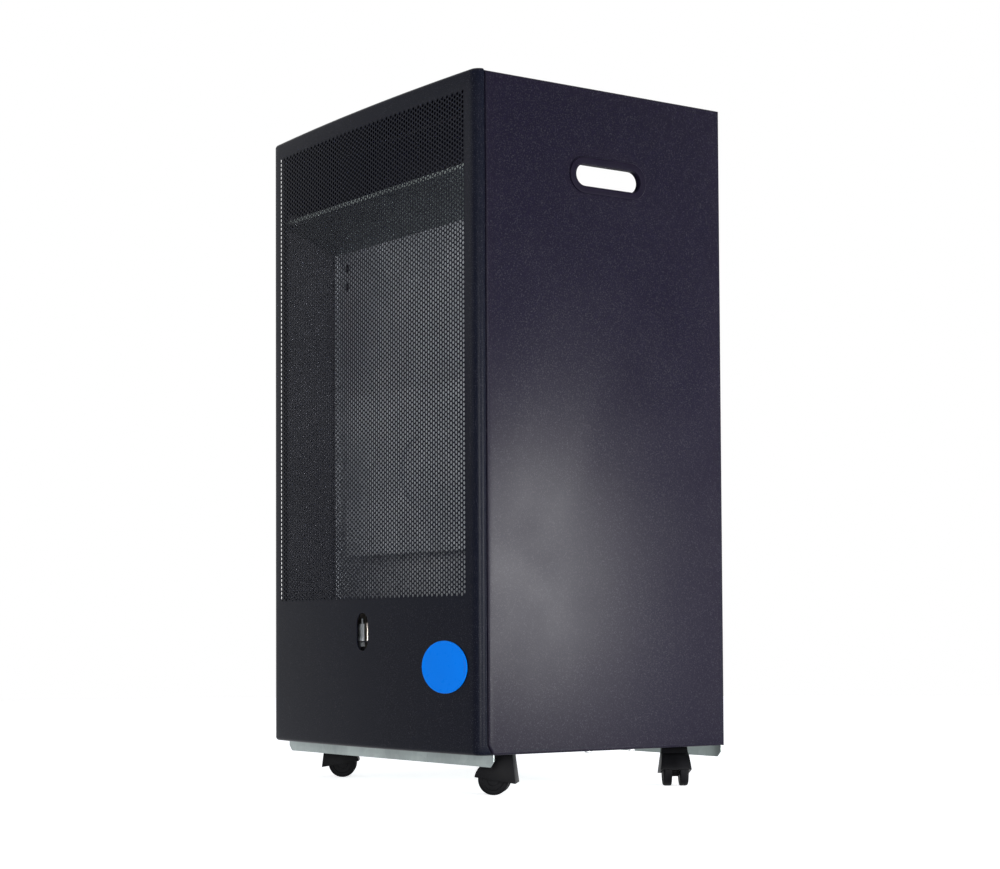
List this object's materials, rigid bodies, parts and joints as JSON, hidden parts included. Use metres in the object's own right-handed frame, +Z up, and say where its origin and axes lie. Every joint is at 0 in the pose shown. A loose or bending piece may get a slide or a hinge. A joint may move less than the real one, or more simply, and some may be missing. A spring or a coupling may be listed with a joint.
{
  "type": "portable gas cabinet heater",
  "caption": "Upright steel gas heater on swivel castors: bowed perforated front over a firebox, hand holes in the sides, controls in a recess on top and an open rear bay for a gas cylinder.",
  "frame": {"origin": "centre of the bounding box on the floor", "axes": "+Z up, -Y out of the bowed front, +X to the right for someone who looks at the front"},
  "size_m": [0.4308, 0.33, 0.74],
  "materials": {
    "powder_coat": "fine textured powder coat, satin",
    "front_coat": "fine textured powder coat, satin",
    "grommet_plastic": "fine matt moulding",
    "badge": "plain blue enamel",
    "zinc_tray": "zinc-plated sheet",
    "brass": "machined",
    "steel_pin": "turned",
    "control_plastic": "fine matt moulding",
    "dark_steel": "dull dark sheet",
    "galvanised": "galvanised sheet",
    "screw_steel": "zinc-plated",
    "burner_steel": "stainless sheet",
    "ceramic": "glazed ceramic, stood in for by gloss plastic",
    "copper": "drawn copper tube, stood in for by brass",
    "lead_sleeve": "sleeved lead",
    "castor_plastic": "fine matt moulding",
    "wheel_plastic": "smooth moulding, satin"
  },
  "bodies": {
    "cabinet": {"side_panel_left": "powder_coat", "side_panel_right": "powder_coat", "handle_grommet_left": "grommet_plastic", "handle_grommet_right": "grommet_plastic", "front_panel": "front_coat", "badge": "badge", "base_tray": "zinc_tray", "top_panel": "powder_coat", "control_well": "powder_coat", "gas_valve": "brass", "igniter_body": "control_plastic", "hose_nozzle": "brass", "firebox_side_left": "dark_steel", "firebox_side_right": "dark_steel", "heat_shield": "galvanised", "bay_panel": "galvanised", "deflector": "galvanised", "deflector_screw_left": "screw_steel", "deflector_screw_right": "screw_steel", "flame_plate": "galvanised", "burner": "burner_steel", "burner_bracket_left": "galvanised", "burner_bracket_right": "galvanised", "mixing_tube": "burner_steel", "injector": "brass", "pilot_bracket": "galvanised", "pilot_burner": "burner_steel", "spark_electrode": "ceramic", "thermocouple": "copper", "gas_pipe": "copper", "pilot_pipe": "copper", "ignition_lead": "lead_sleeve", "side_screw_left_front": "screw_steel", "side_screw_left_rear": "screw_steel", "side_screw_right_front": "screw_steel", "side_screw_right_rear": "screw_steel", "castor_plate_front_left": "zinc_tray", "castor_plate_front_right": "zinc_tray", "castor_plate_rear_left": "zinc_tray", "castor_plate_rear_right": "zinc_tray"},
    "valve_spindle": {"valve_spindle": "steel_pin"},
    "control_knob": {"control_knob": "control_plastic"},
    "igniter_button": {"igniter_button": "control_plastic"},
    "rear_flap": {"rear_flap": "powder_coat"},
    "castor_front_left": {"castor_hood_front_left": "castor_plastic", "castor_axle_front_left": "steel_pin"},
    "wheel_a_front_left": {"wheel_a_front_left": "wheel_plastic"},
    "wheel_b_front_left": {"wheel_b_front_left": "wheel_plastic"},
    "castor_front_right": {"castor_hood_front_right": "castor_plastic", "castor_axle_front_right": "steel_pin"},
    "wheel_a_front_right": {"wheel_a_front_right": "wheel_plastic"},
    "wheel_b_front_right": {"wheel_b_front_right": "wheel_plastic"},
    "castor_rear_left": {"castor_hood_rear_left": "castor_plastic", "castor_axle_rear_left": "steel_pin"},
    "wheel_a_rear_left": {"wheel_a_rear_left": "wheel_plastic"},
    "wheel_b_rear_left": {"wheel_b_rear_left": "wheel_plastic"},
    "castor_rear_right": {"castor_hood_rear_right": "castor_plastic", "castor_axle_rear_right": "steel_pin"},
    "wheel_a_rear_right": {"wheel_a_rear_right": "wheel_plastic"},
    "wheel_b_rear_right": {"wheel_b_rear_right": "wheel_plastic"}
  },
  "joints": [
    {"name": "knob_press", "type": "slide", "parent": "cabinet", "child": "valve_spindle", "axis": [0, 0, -1], "range_m": [0, 0.004], "stiffness_N_per_m": 600, "springref_m": -0.003},
    {"name": "knob_turn", "type": "hinge", "parent": "valve_spindle", "child": "control_knob", "pos_m": [-0.0965, 0.103, 0.72], "axis": [0, 0, 1], "range_deg": [0, 210]},
    {"name": "button_press", "type": "slide", "parent": "cabinet", "child": "igniter_button", "axis": [0, 0, -1], "range_m": [0, 0.005], "stiffness_N_per_m": 400, "springref_m": -0.003},
    {"name": "flap_open", "type": "hinge", "parent": "cabinet", "child": "rear_flap", "pos_m": [0, 0.159, 0.052], "axis": [-1, 0, 0], "range_deg": [0, 90]},
    {"name": "swivel_front_left", "type": "hinge", "parent": "cabinet", "child": "castor_front_left", "pos_m": [-0.1765, -0.099, 0.035], "axis": [0, 0, 1], "continuous": true},
    {"name": "roll_a_front_left", "type": "hinge", "parent": "castor_front_left", "child": "wheel_a_front_left", "pos_m": [-0.16979, -0.08905, 0.016], "axis": [-0.829, 0.5592, 0], "continuous": true},
    {"name": "roll_b_front_left", "type": "hinge", "parent": "castor_front_left", "child": "wheel_b_front_left", "pos_m": [-0.16979, -0.08905, 0.016], "axis": [-0.829, 0.5592, 0], "continuous": true},
    {"name": "swivel_front_right", "type": "hinge", "parent": "cabinet", "child": "castor_front_right", "pos_m": [0.1765, -0.099, 0.035], "axis": [0, 0, 1], "continuous": true},
    {"name": "roll_a_front_right", "type": "hinge", "parent": "castor_front_right", "child": "wheel_a_front_right", "pos_m": [0.16847, -0.10792, 0.016], "axis": [0.7431, -0.6691, 0], "continuous": true},
    {"name": "roll_b_front_right", "type": "hinge", "parent": "castor_front_right", "child": "wheel_b_front_right", "pos_m": [0.16847, -0.10792, 0.016], "axis": [0.7431, -0.6691, 0], "continuous": true},
    {"name": "swivel_rear_left", "type": "hinge", "parent": "cabinet", "child": "castor_rear_left", "pos_m": [-0.1765, 0.124, 0.035], "axis": [0, 0, 1], "continuous": true},
    {"name": "roll_a_rear_left", "type": "hinge", "parent": "castor_rear_left", "child": "wheel_a_rear_left", "pos_m": [-0.17858, 0.13582, 0.016], "axis": [-0.9848, -0.1736, 0], "continuous": true},
    {"name": "roll_b_rear_left", "type": "hinge", "parent": "castor_rear_left", "child": "wheel_b_rear_left", "pos_m": [-0.17858, 0.13582, 0.016], "axis": [-0.9848, -0.1736, 0], "continuous": true},
    {"name": "swivel_rear_right", "type": "hinge", "parent": "cabinet", "child": "castor_rear_right", "pos_m": [0.1765, 0.124, 0.035], "axis": [0, 0, 1], "continuous": true},
    {"name": "roll_a_rear_right", "type": "hinge", "parent": "castor_rear_right", "child": "wheel_a_rear_right", "pos_m": [0.18633, 0.11712, 0.016], "axis": [0.5736, 0.8192, 0], "continuous": true},
    {"name": "roll_b_rear_right", "type": "hinge", "parent": "castor_rear_right", "child": "wheel_b_rear_right", "pos_m": [0.18633, 0.11712, 0.016], "axis": [0.5736, 0.8192, 0], "continuous": true}
  ]
}
